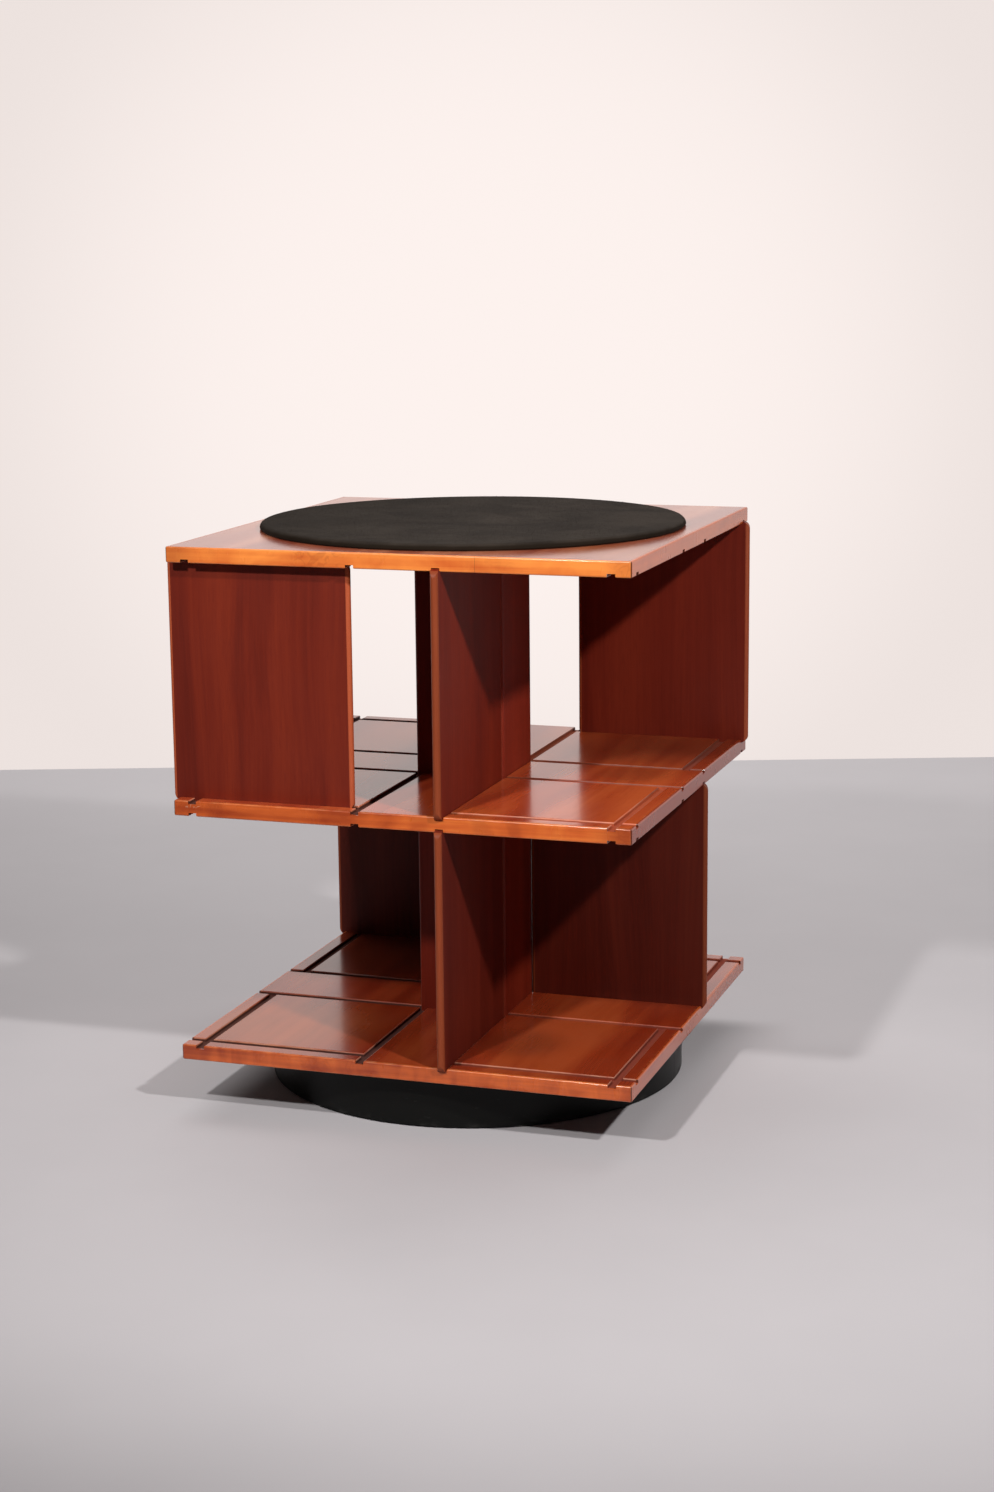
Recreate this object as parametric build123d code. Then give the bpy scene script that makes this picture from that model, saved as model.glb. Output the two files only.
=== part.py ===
import os
from math import sqrt

from build123d import *

# Boards
BOARD_SIDE = 600.0
BOARD_THICKNESS = 20.0
BOARD_EDGE_ROUND = 2.0
LIPPING_WIDTH = 3.0
TIER_CLEAR_HEIGHT = 302.0

# Grooves in the boards
GROOVE_DEPTH = 4.5
GROOVE_EDGE_ROUND = 1.2
CORE_GROOVE_OFFSET = 55.5
EDGE_STRIP = 20.0

# Dividers and core walls
PANEL_THICKNESS = 10.0
DIVIDER_PROUD = 6.0
DIVIDER_DRAWN_OUT = 3.0
DIVIDER_CORNER_RADIUS = 12.0
GROOVE_SIDE_CLEARANCE = 0.3
DIVIDER_TOP_CLEARANCE = 0.8
DIVIDER_END_CLEARANCE = 0.5

# Mat on the top board
MAT_DIAMETER = 554.0
MAT_THICKNESS = 8.0
MAT_EDGE_ROUND = 3.0

# Plinth
PLINTH_DIAMETER = 554.0
PLINTH_WALL_HEIGHT = 62.0
PLINTH_WALL_THICKNESS = 18.0
PLINTH_RIM_THICKNESS = 9.0
PLINTH_EDGE_BEVEL = 1.5
REVEAL = 4.0
DECK_THICKNESS = 18.0
DECK_OPENING_DIAMETER = 70.0
DECK_FIT = 0.1
ACCESS_HOLE_DIAMETER = 18.0

# Glides under the plinth
GLIDE_COUNT = 6
GLIDE_HEIGHT = 2.0
GLIDE_DIAMETER = 15.0
GLIDE_EDGE_BEVEL = 1.2

# Ball swivel
BALL_CIRCLE_DIAMETER = 300.0
BALL_DIAMETER = 6.0
BALL_COUNT = 10
BALL_CLEARANCE = 0.3
RACE_WIDTH = 18.0
RACE_HEIGHT = 10.0
RACE_OFFSET = 2.0
RACE_GAP = 3.0
CAGE_THICKNESS = 1.2
CAGE_HEIGHT = 7.4
CAGE_POCKET_CLEARANCE = 0.2

# Screws of the two races
SCREW_COUNT = 4
SCREW_DIAMETER = 4.0
SCREW_HEAD_DIAMETER = 8.0
SCREW_HEAD_LAND = 0.5
SCREW_BITE = 10.5
FASTENER_CLEARANCE = 0.1

# Tie rod through the core
ROD_DIAMETER = 12.0
ROD_HOLE_CLEARANCE = 0.5
WASHER_DIAMETER = 30.0
WASHER_THICKNESS = 2.5
NUT_ACROSS_FLATS = 19.0
NUT_HEIGHT = 6.0
NUT_RECESS = 1.0
COUNTERBORE_CLEARANCE = 2.0

# Depth by which a cutting body runs past the face it opens
CUT_PAST = 1.0

# Heights of the stack, from the floor up
plinth_foot = GLIDE_HEIGHT
plinth_rim = plinth_foot + PLINTH_WALL_HEIGHT
bottom_under = plinth_rim + REVEAL
middle_under = bottom_under + BOARD_THICKNESS + TIER_CLEAR_HEIGHT
top_under = middle_under + BOARD_THICKNESS + TIER_CLEAR_HEIGHT
mat_under = top_under + BOARD_THICKNESS
deck_top = bottom_under - RACE_HEIGHT - RACE_OFFSET
deck_under = deck_top - DECK_THICKNESS

# Places in plan
half_side = BOARD_SIDE / 2
groove_width = PANEL_THICKNESS + 2 * GROOVE_SIDE_CLEARANCE
outer_line = half_side - EDGE_STRIP - groove_width / 2
divider_inner_end = CORE_GROOVE_OFFSET + PANEL_THICKNESS / 2 + DIVIDER_END_CLEARANCE
divider_width = half_side + DIVIDER_PROUD - divider_inner_end
seated_height = TIER_CLEAR_HEIGHT + 2 * GROOVE_DEPTH
divider_height = seated_height - DIVIDER_TOP_CLEARANCE

# Places in the swivel
ball_circle = BALL_CIRCLE_DIAMETER / 2
ball_level = deck_top + (RACE_HEIGHT + RACE_OFFSET) / 2
inner_race_out = ball_circle - RACE_GAP / 2
inner_race_mid = inner_race_out - RACE_WIDTH / 2
outer_race_in = ball_circle + RACE_GAP / 2
outer_race_mid = outer_race_in + RACE_WIDTH / 2

FROM_BELOW = (Align.CENTER, Align.CENTER, Align.MIN)
SIDES = ("front", "right", "rear", "left")


def cylinder(diameter, height, level):
    return Pos(0, 0, level) * Cylinder(diameter / 2, height, align=FROM_BELOW)


def turned(points):
    outline = Polyline(*points, close=True)
    return revolve(Plane.XZ * make_face(outline), Axis.Z)


def tube(inside, outside, low, high):
    return turned([(inside, low), (outside, low), (outside, high), (inside, high)])


def on_circle(shape, radius, count, first_angle=0.0):
    places = PolarLocations(radius, count, start_angle=first_angle)
    return [place * shape for place in places]


def groove_cutter(run):
    side = groove_width / 2
    facet = GROOVE_EDGE_ROUND * (1 - sqrt(0.5))
    brim = side + GROOVE_EDGE_ROUND
    flank = [(side, -GROOVE_DEPTH), (side, -GROOVE_EDGE_ROUND), (side + facet, -facet), (brim, 0), (brim, CUT_PAST)]
    outline = flank + [(-out, up) for out, up in reversed(flank)]
    return extrude(make_face(Plane.YZ * Polyline(*outline, close=True)), run, dir=(1, 0, 0))


def grooves():
    reach = half_side + CUT_PAST
    whole = Pos(-reach, CORE_GROOVE_OFFSET, 0) * groove_cutter(2 * reach)
    short = Pos(CORE_GROOVE_OFFSET, 0, 0) * groove_cutter(reach - CORE_GROOVE_OFFSET)
    strips = [whole, Pos(0, outer_line, 0) * short, Pos(0, -outer_line, 0) * short]
    return Part() + [Rot(0, 0, 90 * turn) * strip for turn in range(4) for strip in strips]


def board(level, grooves_above, grooves_below):
    blank = Box(BOARD_SIDE, BOARD_SIDE, BOARD_THICKNESS, align=FROM_BELOW)
    blank = Pos(0, 0, level) * fillet(blank.edges(), BOARD_EDGE_ROUND)
    cutter = grooves()
    if grooves_above:
        blank -= Pos(0, 0, level + BOARD_THICKNESS) * cutter
    if grooves_below:
        blank -= Pos(0, 0, level) * Rot(180, 0, 0) * cutter
    hole = ROD_DIAMETER + 2 * ROD_HOLE_CLEARANCE
    return blank - cylinder(hole, BOARD_THICKNESS + 2 * CUT_PAST, level - CUT_PAST)


def split_board(solid, level):
    inside = half_side - LIPPING_WIDTH
    outside = half_side + CUT_PAST
    through = BOARD_THICKNESS + 2 * CUT_PAST
    field = Box(2 * inside, 2 * inside, through, align=FROM_BELOW)
    outline = [(-outside, -outside), (outside, -outside), (inside, -inside), (-inside, -inside)]
    strip = extrude(Polygon(*outline, align=None), through)
    below = Pos(0, 0, level - CUT_PAST)
    lippings = {}
    for turn, side in enumerate(SIDES):
        lippings[side] = solid & (below * Rot(0, 0, 90 * turn) * strip)
    return solid & (below * field), lippings


def divider():
    plan = Pos(divider_width / 2, 0) * SlotOverall(divider_width, PANEL_THICKNESS)
    upright = extrude(plan, divider_height)
    face = RectangleRounded(divider_width, divider_height, DIVIDER_CORNER_RADIUS)
    elevation = Plane.XZ * Pos(divider_width / 2, divider_height / 2) * face
    return upright & extrude(elevation, PANEL_THICKNESS, both=True)


def core_wall():
    width = 2 * CORE_GROOVE_OFFSET
    straight = width - PANEL_THICKNESS / 2
    plan = Pos(width / 2 - straight / 2, 0) * Rectangle(straight, PANEL_THICKNESS)
    plan += Pos(PANEL_THICKNESS / 2 - width / 2, 0) * Circle(PANEL_THICKNESS / 2)
    return Pos(-PANEL_THICKNESS / 2, -CORE_GROOVE_OFFSET, 0) * extrude(plan, seated_height)


def countersunk_screw(grow):
    shank = SCREW_DIAMETER / 2 + grow
    head = SCREW_HEAD_DIAMETER / 2 + grow
    neck = -SCREW_HEAD_LAND - (head - shank)
    end = -RACE_HEIGHT - SCREW_BITE - grow
    outline = [(0, grow), (head, grow), (head, -SCREW_HEAD_LAND), (shank, neck), (shank, end), (0, end)]
    return turned(outline)


def race(inside, outside, level):
    ring = tube(inside, outside, level, level + RACE_HEIGHT)
    reach = (BALL_DIAMETER / 2 + BALL_CLEARANCE) * sqrt(2)
    corners = [(reach, 0), (0, reach), (-reach, 0), (0, -reach)]
    track = turned([(ball_circle + out, ball_level + up) for out, up in corners])
    return ring - track


def ball_cage():
    inside = ball_circle - CAGE_THICKNESS / 2
    outside = ball_circle + CAGE_THICKNESS / 2
    low = ball_level - CAGE_HEIGHT / 2
    high = ball_level + CAGE_HEIGHT / 2
    ring = tube(inside, outside, low, high)
    pocket_radius = BALL_DIAMETER / 2 + CAGE_POCKET_CLEARANCE
    pocket = Rot(0, 90, 0) * Cylinder(pocket_radius, CAGE_THICKNESS + 2 * CUT_PAST)
    return ring - on_circle(Pos(0, 0, ball_level) * pocket, ball_circle, BALL_COUNT)


def glide():
    pad = cylinder(GLIDE_DIAMETER, GLIDE_HEIGHT, 0)
    return chamfer(pad.edges().group_by(Axis.Z)[0], GLIDE_EDGE_BEVEL)


def hex_nut(level):
    blank = extrude(RegularPolygon(NUT_ACROSS_FLATS / 2, 6, major_radius=False), NUT_HEIGHT)
    bore = ROD_DIAMETER + 2 * FASTENER_CLEARANCE
    return Pos(0, 0, level) * blank - cylinder(bore, NUT_HEIGHT + 2 * CUT_PAST, level - CUT_PAST)


def washer(level):
    bore = ROD_DIAMETER + 2 * FASTENER_CLEARANCE
    disc = cylinder(WASHER_DIAMETER, WASHER_THICKNESS, level)
    return disc - cylinder(bore, WASHER_THICKNESS + 2 * CUT_PAST, level - CUT_PAST)


parts = {}

# Boards with their counterbores for the tie rod's nuts and the holes for the outer race's screws
well = WASHER_THICKNESS + NUT_HEIGHT + NUT_RECESS
well_diameter = WASHER_DIAMETER + 2 * COUNTERBORE_CLEARANCE
top_solid = board(top_under, False, True) - cylinder(well_diameter, well + CUT_PAST, mat_under - well)
middle_solid = board(middle_under, True, True)
outer_screw_seat = bottom_under - RACE_HEIGHT
outer_screw_hole = Pos(0, 0, outer_screw_seat) * Rot(180, 0, 0) * countersunk_screw(FASTENER_CLEARANCE)
outer_screw_holes = on_circle(outer_screw_hole, outer_race_mid, SCREW_COUNT)
bottom_solid = board(bottom_under, True, False) - outer_screw_holes
bottom_solid -= cylinder(well_diameter, well + CUT_PAST, bottom_under - CUT_PAST)

board_stack = (
    ("top", top_solid, top_under),
    ("middle", middle_solid, middle_under),
    ("bottom", bottom_solid, bottom_under),
)
for name, solid, level in board_stack:
    parts[name + "_board"], lippings = split_board(solid, level)
    for side, strip in lippings.items():
        parts[name + "_lipping_" + side] = strip

# Core walls, which stand in the grooves of both boards of their tier
lower_floor = bottom_under + BOARD_THICKNESS - GROOVE_DEPTH
upper_floor = middle_under + BOARD_THICKNESS - GROOVE_DEPTH
tiers = (("lower", lower_floor), ("upper", upper_floor))
for tier, floor in tiers:
    for turn, side in enumerate(SIDES):
        parts[tier + "_core_" + side] = Pos(0, 0, floor) * Rot(0, 0, 90 * turn) * core_wall()

# Dividers: the turn is the way each one slides out, the line is how far its groove lies to its left.
# One stands pushed home against the core, the others a little drawn out
divider_places = (
    ("upper_divider_front_left", upper_floor, 180, outer_line, DIVIDER_DRAWN_OUT),
    ("upper_divider_front_arm", upper_floor, -90, CORE_GROOVE_OFFSET, DIVIDER_DRAWN_OUT),
    ("upper_divider_rear_right", upper_floor, 0, outer_line, DIVIDER_DRAWN_OUT),
    ("upper_divider_rear_arm", upper_floor, 90, CORE_GROOVE_OFFSET, DIVIDER_DRAWN_OUT),
    ("lower_divider_front_arm", lower_floor, -90, CORE_GROOVE_OFFSET, DIVIDER_DRAWN_OUT),
    ("lower_divider_right_arm", lower_floor, 0, CORE_GROOVE_OFFSET, 0.0),
    ("lower_divider_rear_left", lower_floor, 180, -outer_line, DIVIDER_DRAWN_OUT),
    ("lower_divider_rear_arm", lower_floor, 90, CORE_GROOVE_OFFSET, DIVIDER_DRAWN_OUT),
)
for name, floor, turn, line, drawn_out in divider_places:
    place = Pos(0, 0, floor) * Rot(0, 0, turn) * Pos(divider_inner_end + drawn_out, line, 0)
    parts[name] = place * divider()

# Mat
mat = cylinder(MAT_DIAMETER, MAT_THICKNESS, mat_under)
parts["top_mat"] = fillet(mat.edges().group_by(Axis.Z)[-1], MAT_EDGE_ROUND)

# Plinth wall with a rabbet for the deck, on its glides
wall_out = PLINTH_DIAMETER / 2
wall_in = wall_out - PLINTH_WALL_THICKNESS
rim_in = wall_out - PLINTH_RIM_THICKNESS
wall = turned([
    (wall_in, plinth_foot), (wall_out, plinth_foot), (wall_out, plinth_rim),
    (rim_in, plinth_rim), (rim_in, deck_under), (wall_in, deck_under),
])
wall = chamfer(wall.edges().group_by(Axis.Z)[-1], PLINTH_EDGE_BEVEL)
glide_circle = wall_out - PLINTH_WALL_THICKNESS / 2
parts["plinth_wall"] = wall
parts["glides"] = Compound(children=on_circle(glide(), glide_circle, GLIDE_COUNT))

# Plinth deck, with the screw holes of the inner race and one hole to reach the outer race's screws
inner_screw_seat = deck_top + RACE_HEIGHT
half_step = 180.0 / SCREW_COUNT
inner_screw_hole = Pos(0, 0, inner_screw_seat) * countersunk_screw(FASTENER_CLEARANCE)
inner_screw_holes = on_circle(inner_screw_hole, inner_race_mid, SCREW_COUNT, half_step)
deck = cylinder(2 * (rim_in - DECK_FIT), DECK_THICKNESS, deck_under)
deck -= cylinder(DECK_OPENING_DIAMETER, DECK_THICKNESS + 2 * CUT_PAST, deck_under - CUT_PAST)
access = cylinder(ACCESS_HOLE_DIAMETER, DECK_THICKNESS + 2 * CUT_PAST, deck_under - CUT_PAST)
parts["plinth_deck"] = deck - inner_screw_holes - Pos(outer_race_mid, 0, 0) * access

# Ball swivel
inner_ring = race(inner_race_out - RACE_WIDTH, inner_race_out, deck_top)
outer_ring = race(outer_race_in, outer_race_in + RACE_WIDTH, deck_top + RACE_OFFSET)
parts["inner_race"] = inner_ring - inner_screw_holes
parts["outer_race"] = outer_ring - outer_screw_holes
parts["ball_cage"] = ball_cage()
ball = Pos(0, 0, ball_level) * Sphere(BALL_DIAMETER / 2)
parts["balls"] = Compound(children=on_circle(ball, ball_circle, BALL_COUNT))
inner_screw = Pos(0, 0, inner_screw_seat) * countersunk_screw(0.0)
outer_screw = Pos(0, 0, outer_screw_seat) * Rot(180, 0, 0) * countersunk_screw(0.0)
inner_screws = on_circle(inner_screw, inner_race_mid, SCREW_COUNT, half_step)
outer_screws = on_circle(outer_screw, outer_race_mid, SCREW_COUNT)
parts["inner_race_screws"] = Compound(children=inner_screws)
parts["outer_race_screws"] = Compound(children=outer_screws)

# Tie rod with its washers and nuts
rod_low = bottom_under + NUT_RECESS
rod_high = mat_under - NUT_RECESS
parts["tie_rod"] = cylinder(ROD_DIAMETER, rod_high - rod_low, rod_low)
parts["bottom_nut"] = hex_nut(rod_low)
parts["bottom_washer"] = washer(rod_low + NUT_HEIGHT)
parts["top_washer"] = washer(rod_high - NUT_HEIGHT - WASHER_THICKNESS)
parts["top_nut"] = hex_nut(rod_high - NUT_HEIGHT)

os.makedirs("parts", exist_ok=True)
for name, shape in parts.items():
    shape.label = name
    export_step(shape, "parts/" + name + ".step")
    print(name, round(shape.volume), "mm3")
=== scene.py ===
import math

import bmesh
import bpy
from mathutils import Matrix, Vector, noise


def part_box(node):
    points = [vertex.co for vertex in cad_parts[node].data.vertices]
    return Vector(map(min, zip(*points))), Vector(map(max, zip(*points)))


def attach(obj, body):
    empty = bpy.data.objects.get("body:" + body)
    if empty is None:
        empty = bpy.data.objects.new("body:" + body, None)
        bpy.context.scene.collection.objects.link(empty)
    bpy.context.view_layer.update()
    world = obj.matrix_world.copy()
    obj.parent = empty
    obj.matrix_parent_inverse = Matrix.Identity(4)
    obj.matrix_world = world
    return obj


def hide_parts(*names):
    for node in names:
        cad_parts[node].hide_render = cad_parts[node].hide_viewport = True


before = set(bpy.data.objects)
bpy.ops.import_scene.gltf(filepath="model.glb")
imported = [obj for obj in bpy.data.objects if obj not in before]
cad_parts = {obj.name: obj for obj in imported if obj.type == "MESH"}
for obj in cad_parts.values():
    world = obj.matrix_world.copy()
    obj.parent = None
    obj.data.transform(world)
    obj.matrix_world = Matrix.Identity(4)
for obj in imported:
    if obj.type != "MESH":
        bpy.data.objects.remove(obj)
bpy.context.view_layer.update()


# Short hands for node trees

def feed(tree, socket, value):
    if isinstance(value, bpy.types.NodeSocket):
        tree.links.new(value, socket)
    else:
        socket.default_value = value


def putNode(tree, kind, inputs=None, **settings):
    node = tree.nodes.new(kind)
    for name, value in settings.items():
        setattr(node, name, value)
    for socket, value in (inputs or {}).items():
        feed(tree, node.inputs[socket], value)
    return node


def calc(tree, operation, *values, clamp=False):
    node = putNode(tree, "ShaderNodeMath", dict(enumerate(values)), operation=operation, use_clamp=clamp)
    return node.outputs[0]


def calcVector(tree, operation, *values):
    node = putNode(tree, "ShaderNodeVectorMath", dict(enumerate(values)), operation=operation)
    return node.outputs["Value" if operation in ("LENGTH", "DISTANCE", "DOT_PRODUCT") else "Vector"]


def axes(tree, vector):
    return putNode(tree, "ShaderNodeSeparateXYZ", {0: vector}).outputs


def joined(tree, *parts):        # a vector from its parts
    return putNode(tree, "ShaderNodeCombineXYZ", dict(enumerate(parts))).outputs[0]


def step(tree, value, low, high, first=0.0, last=1.0):        # soft; a band gives its four numbers
    inputs = {0: value, 1: low, 2: high, 3: first, 4: last}
    return putNode(tree, "ShaderNodeMapRange", inputs, interpolation_type="SMOOTHSTEP").outputs[0]


def away(tree, value, spot):        # how far a value lies from a spot
    return calc(tree, "ABSOLUTE", calc(tree, "SUBTRACT", value, spot))


def near(tree, value, spot, reach, core, share=1.0):        # a mask round a spot, full within its core
    return step(tree, away(tree, value, spot), core * reach, reach, share, 0.0)


def cloud(tree, place, scale, detail=2.0, roughness=0.5, distortion=0.0):        # a texture gives its numbers
    inputs = {"Vector": place, "Scale": scale, "Detail": detail,
              "Roughness": roughness, "Distortion": distortion}
    return putNode(tree, "ShaderNodeTexNoise", inputs).outputs


def blots(tree, place, texture, band):        # a cloud cut to a soft mask
    return step(tree, cloud(tree, place, *texture)[0], *band)


def veins(tree, place, texture, band):        # thin curved lines where a cloud is at half its height
    return step(tree, away(tree, cloud(tree, place, *texture)[0], 0.5), *band)


def opaque(colour):
    return colour if isinstance(colour, bpy.types.NodeSocket) else (*colour, 1.0)


def tint(tree, share, first, second):
    inputs = {0: share, 6: opaque(first), 7: opaque(second)}
    return putNode(tree, "ShaderNodeMix", inputs, data_type="RGBA").outputs[2]


def toneRamp(tree, share, places, colours):
    node = putNode(tree, "ShaderNodeValToRGB", {0: share})
    stones = node.color_ramp.elements
    while len(stones) < len(places):
        stones.new(0.5)
    for stone, position, colour in zip(stones, places, colours):
        stone.position = position
        stone.color = opaque(colour)
    return node.outputs[0]


def newGroup(name, vectors, values, results):
    tree = bpy.data.node_groups.new(name, "ShaderNodeTree")
    sockets = [(label, "INPUT", "Vector") for label in vectors]
    sockets += [(label, "INPUT", "Float") for label in values]
    sockets += [(label, "OUTPUT", "Float") for label in results]
    for label, way, kind in sockets:
        tree.interface.new_socket(name=label, in_out=way, socket_type="NodeSocket" + kind)
    return tree, tree.nodes.new("NodeGroupInput").outputs, tree.nodes.new("NodeGroupOutput").inputs


def useGroup(tree, group, inputs):
    return putNode(tree, "ShaderNodeGroup", inputs, node_tree=group).outputs


def newMaterial(name):
    material = bpy.data.materials.new(name)
    material.use_nodes = True
    tree = material.node_tree
    tree.nodes.clear()
    shader = putNode(tree, "ShaderNodeBsdfPrincipled")
    putNode(tree, "ShaderNodeOutputMaterial", {0: shader.outputs[0]})
    where = tree.nodes.new("ShaderNodeTexCoord").outputs
    return material, tree, shader, where


def setPlain(shader, values):        # values that are the same all over
    for socket, value in values.items():
        shader.inputs[socket].default_value = value


def setShader(tree, shader, piece, colour, rough, height):
    bump = putNode(tree, "ShaderNodeBump", {
        "Strength": piece["bump"], "Distance": piece["bumpReach"], "Height": height})
    feed(tree, shader.inputs["Base Color"], colour)
    feed(tree, shader.inputs["Roughness"], rough)
    feed(tree, shader.inputs["Normal"], bump.outputs[0])
    setPlain(shader, piece.get("plain", {}))


def dress(names, material):        # a CAD node keeps its mesh and gets a finish
    for name in names:
        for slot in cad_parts[name].material_slots:
            slot.material = material


# Effects that several finishes share

grainLook = {
    "seedWay": (0.37, 0.53, 0.71), "slow": (1.0, 1.0, 0.35), "drift": (6.0, 1.0), "fibreRun": (1.0, 1.0, 0.3),
    "lineTwist": 5.0, "linePower": 1.7, "fibreDetail": (3.0, 0.65),
    "poreGrid": (900.0, 900.0, 45.0), "pores": ((1.0, 0.0), (0.63, 0.72)), "poreDepth": 0.6,
    "broad": (0.28, 0.72), "threads": (0.25, 0.75),
    "bandShare": 0.5, "lineShare": 0.2, "fibreShare": 0.3,
}


def woodFigureGroup():        # straight grain along Z: bands, growth lines, fibres and pores
    tree, given, made = newGroup(
        "woodFigure", ("Place",),
        ("Band width", "Line width", "Fibre width", "Run", "Wander", "Calm", "Seed"),
        ("Tone", "Fibre", "Pores", "Height"))
    shift = joined(tree, *[calc(tree, "MULTIPLY", given["Seed"], part) for part in grainLook["seedWay"]])
    place = calcVector(tree, "ADD", given["Place"], shift)
    slow = calcVector(tree, "MULTIPLY", place, grainLook["slow"])
    drift = calcVector(tree, "SUBTRACT", cloud(tree, slow, *grainLook["drift"])[1], (0.5, 0.5, 0.5))
    drift = calcVector(tree, "MULTIPLY", drift, joined(tree, given["Wander"], given["Wander"]))
    place = calcVector(tree, "ADD", place, drift)
    along = calc(tree, "DIVIDE", 1.0, given["Run"])
    long = calcVector(tree, "MULTIPLY", place, joined(tree, 1.0, 1.0, along))
    longer = calcVector(tree, "MULTIPLY", long, grainLook["fibreRun"])
    band = cloud(tree, long, calc(tree, "DIVIDE", 1.0, given["Band width"]))[0]
    phase = calc(tree, "DIVIDE", axes(tree, long)[0], given["Line width"])
    phase = calc(tree, "MULTIPLY_ADD", band, grainLook["lineTwist"], phase)
    line = calc(tree, "POWER", calc(tree, "PINGPONG", phase, 1.0), grainLook["linePower"])
    fibre = cloud(tree, longer, calc(tree, "DIVIDE", 1.0, given["Fibre width"]), *grainLook["fibreDetail"])[0]
    poreGrid = calcVector(tree, "MULTIPLY", place, grainLook["poreGrid"])
    pores = blots(tree, poreGrid, *grainLook["pores"])
    broad = step(tree, band, *grainLook["broad"])
    lively = calc(tree, "MULTIPLY", broad, grainLook["bandShare"])
    lively = calc(tree, "MULTIPLY_ADD", line, grainLook["lineShare"], lively)
    threads = step(tree, fibre, *grainLook["threads"])
    lively = calc(tree, "MULTIPLY_ADD", threads, grainLook["fibreShare"], lively)
    tone = calc(tree, "MULTIPLY_ADD", calc(tree, "SUBTRACT", broad, lively), given["Calm"], lively)
    height = calc(tree, "SUBTRACT", fibre, calc(tree, "MULTIPLY", pores, grainLook["poreDepth"]))
    for label, value in (("Tone", tone), ("Fibre", fibre), ("Pores", pores), ("Height", height)):
        feed(tree, made[label], value)
    return tree


flameLook = {
    "blotchRun": (0.8, 0.8, 0.45), "blotch": (3.0, 0.55, 1.4),
    "curlRun": (0.3, 0.3, 1.0), "curl": (2.0, 0.5, 0.8),
    "spread": (0.25, 0.75), "knotScale": 0.6, "knot": (1.0, 0.5, 2.5), "knotBand": (0.60, 0.74),
}


def flameFigureGroup():        # curly figure of a solid strip, blotched along Z
    tree, given, made = newGroup(
        "flameFigure", ("Place",), ("Blotch", "Curl", "Ripple", "Seed"), ("Tone", "Swirl"))
    seed = given["Seed"]
    place = calcVector(tree, "ADD", given["Place"], joined(tree, seed, seed, seed))
    wide = calcVector(tree, "MULTIPLY", place, flameLook["blotchRun"])
    blotch = cloud(tree, wide, calc(tree, "DIVIDE", 1.0, given["Blotch"]), *flameLook["blotch"])[0]
    cross = calcVector(tree, "MULTIPLY", place, flameLook["curlRun"])
    curl = cloud(tree, cross, calc(tree, "DIVIDE", 1.0, given["Curl"]), *flameLook["curl"])[0]
    calm = step(tree, blotch, *flameLook["spread"])
    lively = calc(tree, "SUBTRACT", step(tree, curl, *flameLook["spread"]), calm)
    knotScale = calc(tree, "DIVIDE", flameLook["knotScale"], given["Blotch"])
    knot = cloud(tree, place, knotScale, *flameLook["knot"])[0]
    feed(tree, made["Tone"], calc(tree, "MULTIPLY_ADD", lively, given["Ripple"], calm))
    feed(tree, made["Swirl"], step(tree, knot, *flameLook["knotBand"]))
    return tree


filmLook = {
    "hand": (9.0, 3.0, 0.6, 0.6), "handShare": 0.65, "rubGrid": (70.0, 70.0, 25.0), "rubShare": 0.35,
    "ripple": (130.0, 1.0),
}


def lacquerFilmGroup():        # gloss that is a little uneven, and the film's soft ripple
    tree, given, made = newGroup("lacquerFilm", ("Place",), ("Gloss", "Spread"), ("Roughness", "Ripple"))
    hand = cloud(tree, given["Place"], *filmLook["hand"])[0]
    rub = cloud(tree, calcVector(tree, "MULTIPLY", given["Place"], filmLook["rubGrid"]), 1.0)[0]
    uneven = calc(tree, "MULTIPLY", hand, filmLook["handShare"])
    uneven = calc(tree, "MULTIPLY_ADD", rub, filmLook["rubShare"], uneven)
    uneven = calc(tree, "SUBTRACT", uneven, 0.5)
    rough = calc(tree, "MULTIPLY_ADD", uneven, given["Spread"], given["Gloss"], clamp=True)
    feed(tree, made["Roughness"], rough)
    feed(tree, made["Ripple"], cloud(tree, given["Place"], *filmLook["ripple"])[0])
    return tree


wearLook = {"broken": ((60.0, 3.0, 0.65), (0.35, 0.68))}


def edgeWearGroup():        # rubbed arrises: a broken mask within reach of the edges of a box
    tree, given, made = newGroup("edgeWear", ("Place", "Low", "High"), ("Reach",), ("Wear",))
    fromLow = axes(tree, calcVector(tree, "SUBTRACT", given["Place"], given["Low"]))
    toHigh = axes(tree, calcVector(tree, "SUBTRACT", given["High"], given["Place"]))
    x, y, z = [calc(tree, "MINIMUM", *pair) for pair in zip(fromLow, toHigh)]
    less = calc(tree, "MINIMUM", x, y)
    more = calc(tree, "MAXIMUM", x, y)
    second = calc(tree, "MAXIMUM", less, calc(tree, "MINIMUM", more, z))        # way to the nearest edge
    rim = step(tree, second, 0.0, given["Reach"], 1.0, 0.0)
    feed(tree, made["Wear"], calc(tree, "MULTIPLY", rim, blots(tree, given["Place"], *wearLook["broken"])))
    return tree


dustLook = {
    "up": (0.55, 0.95), "haze": ((14.0, 4.0, 0.6), (0.3, 0.75)), "hazeShare": 0.5,
    "specks": ((420.0, 1.0), (0.68, 0.76)),
}


def settledDustGroup():        # fine dust on what faces up
    tree, given, made = newGroup("settledDust", ("Place", "Facing"), ("Amount",), ("Dust",))
    up = step(tree, axes(tree, given["Facing"])[2], *dustLook["up"])
    haze = blots(tree, given["Place"], *dustLook["haze"])
    specks = blots(tree, given["Place"], *dustLook["specks"])
    fall = calc(tree, "MULTIPLY", up, calc(tree, "MULTIPLY_ADD", haze, dustLook["hazeShare"], specks))
    feed(tree, made["Dust"], calc(tree, "MULTIPLY", fall, given["Amount"], clamp=True))
    return tree


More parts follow.
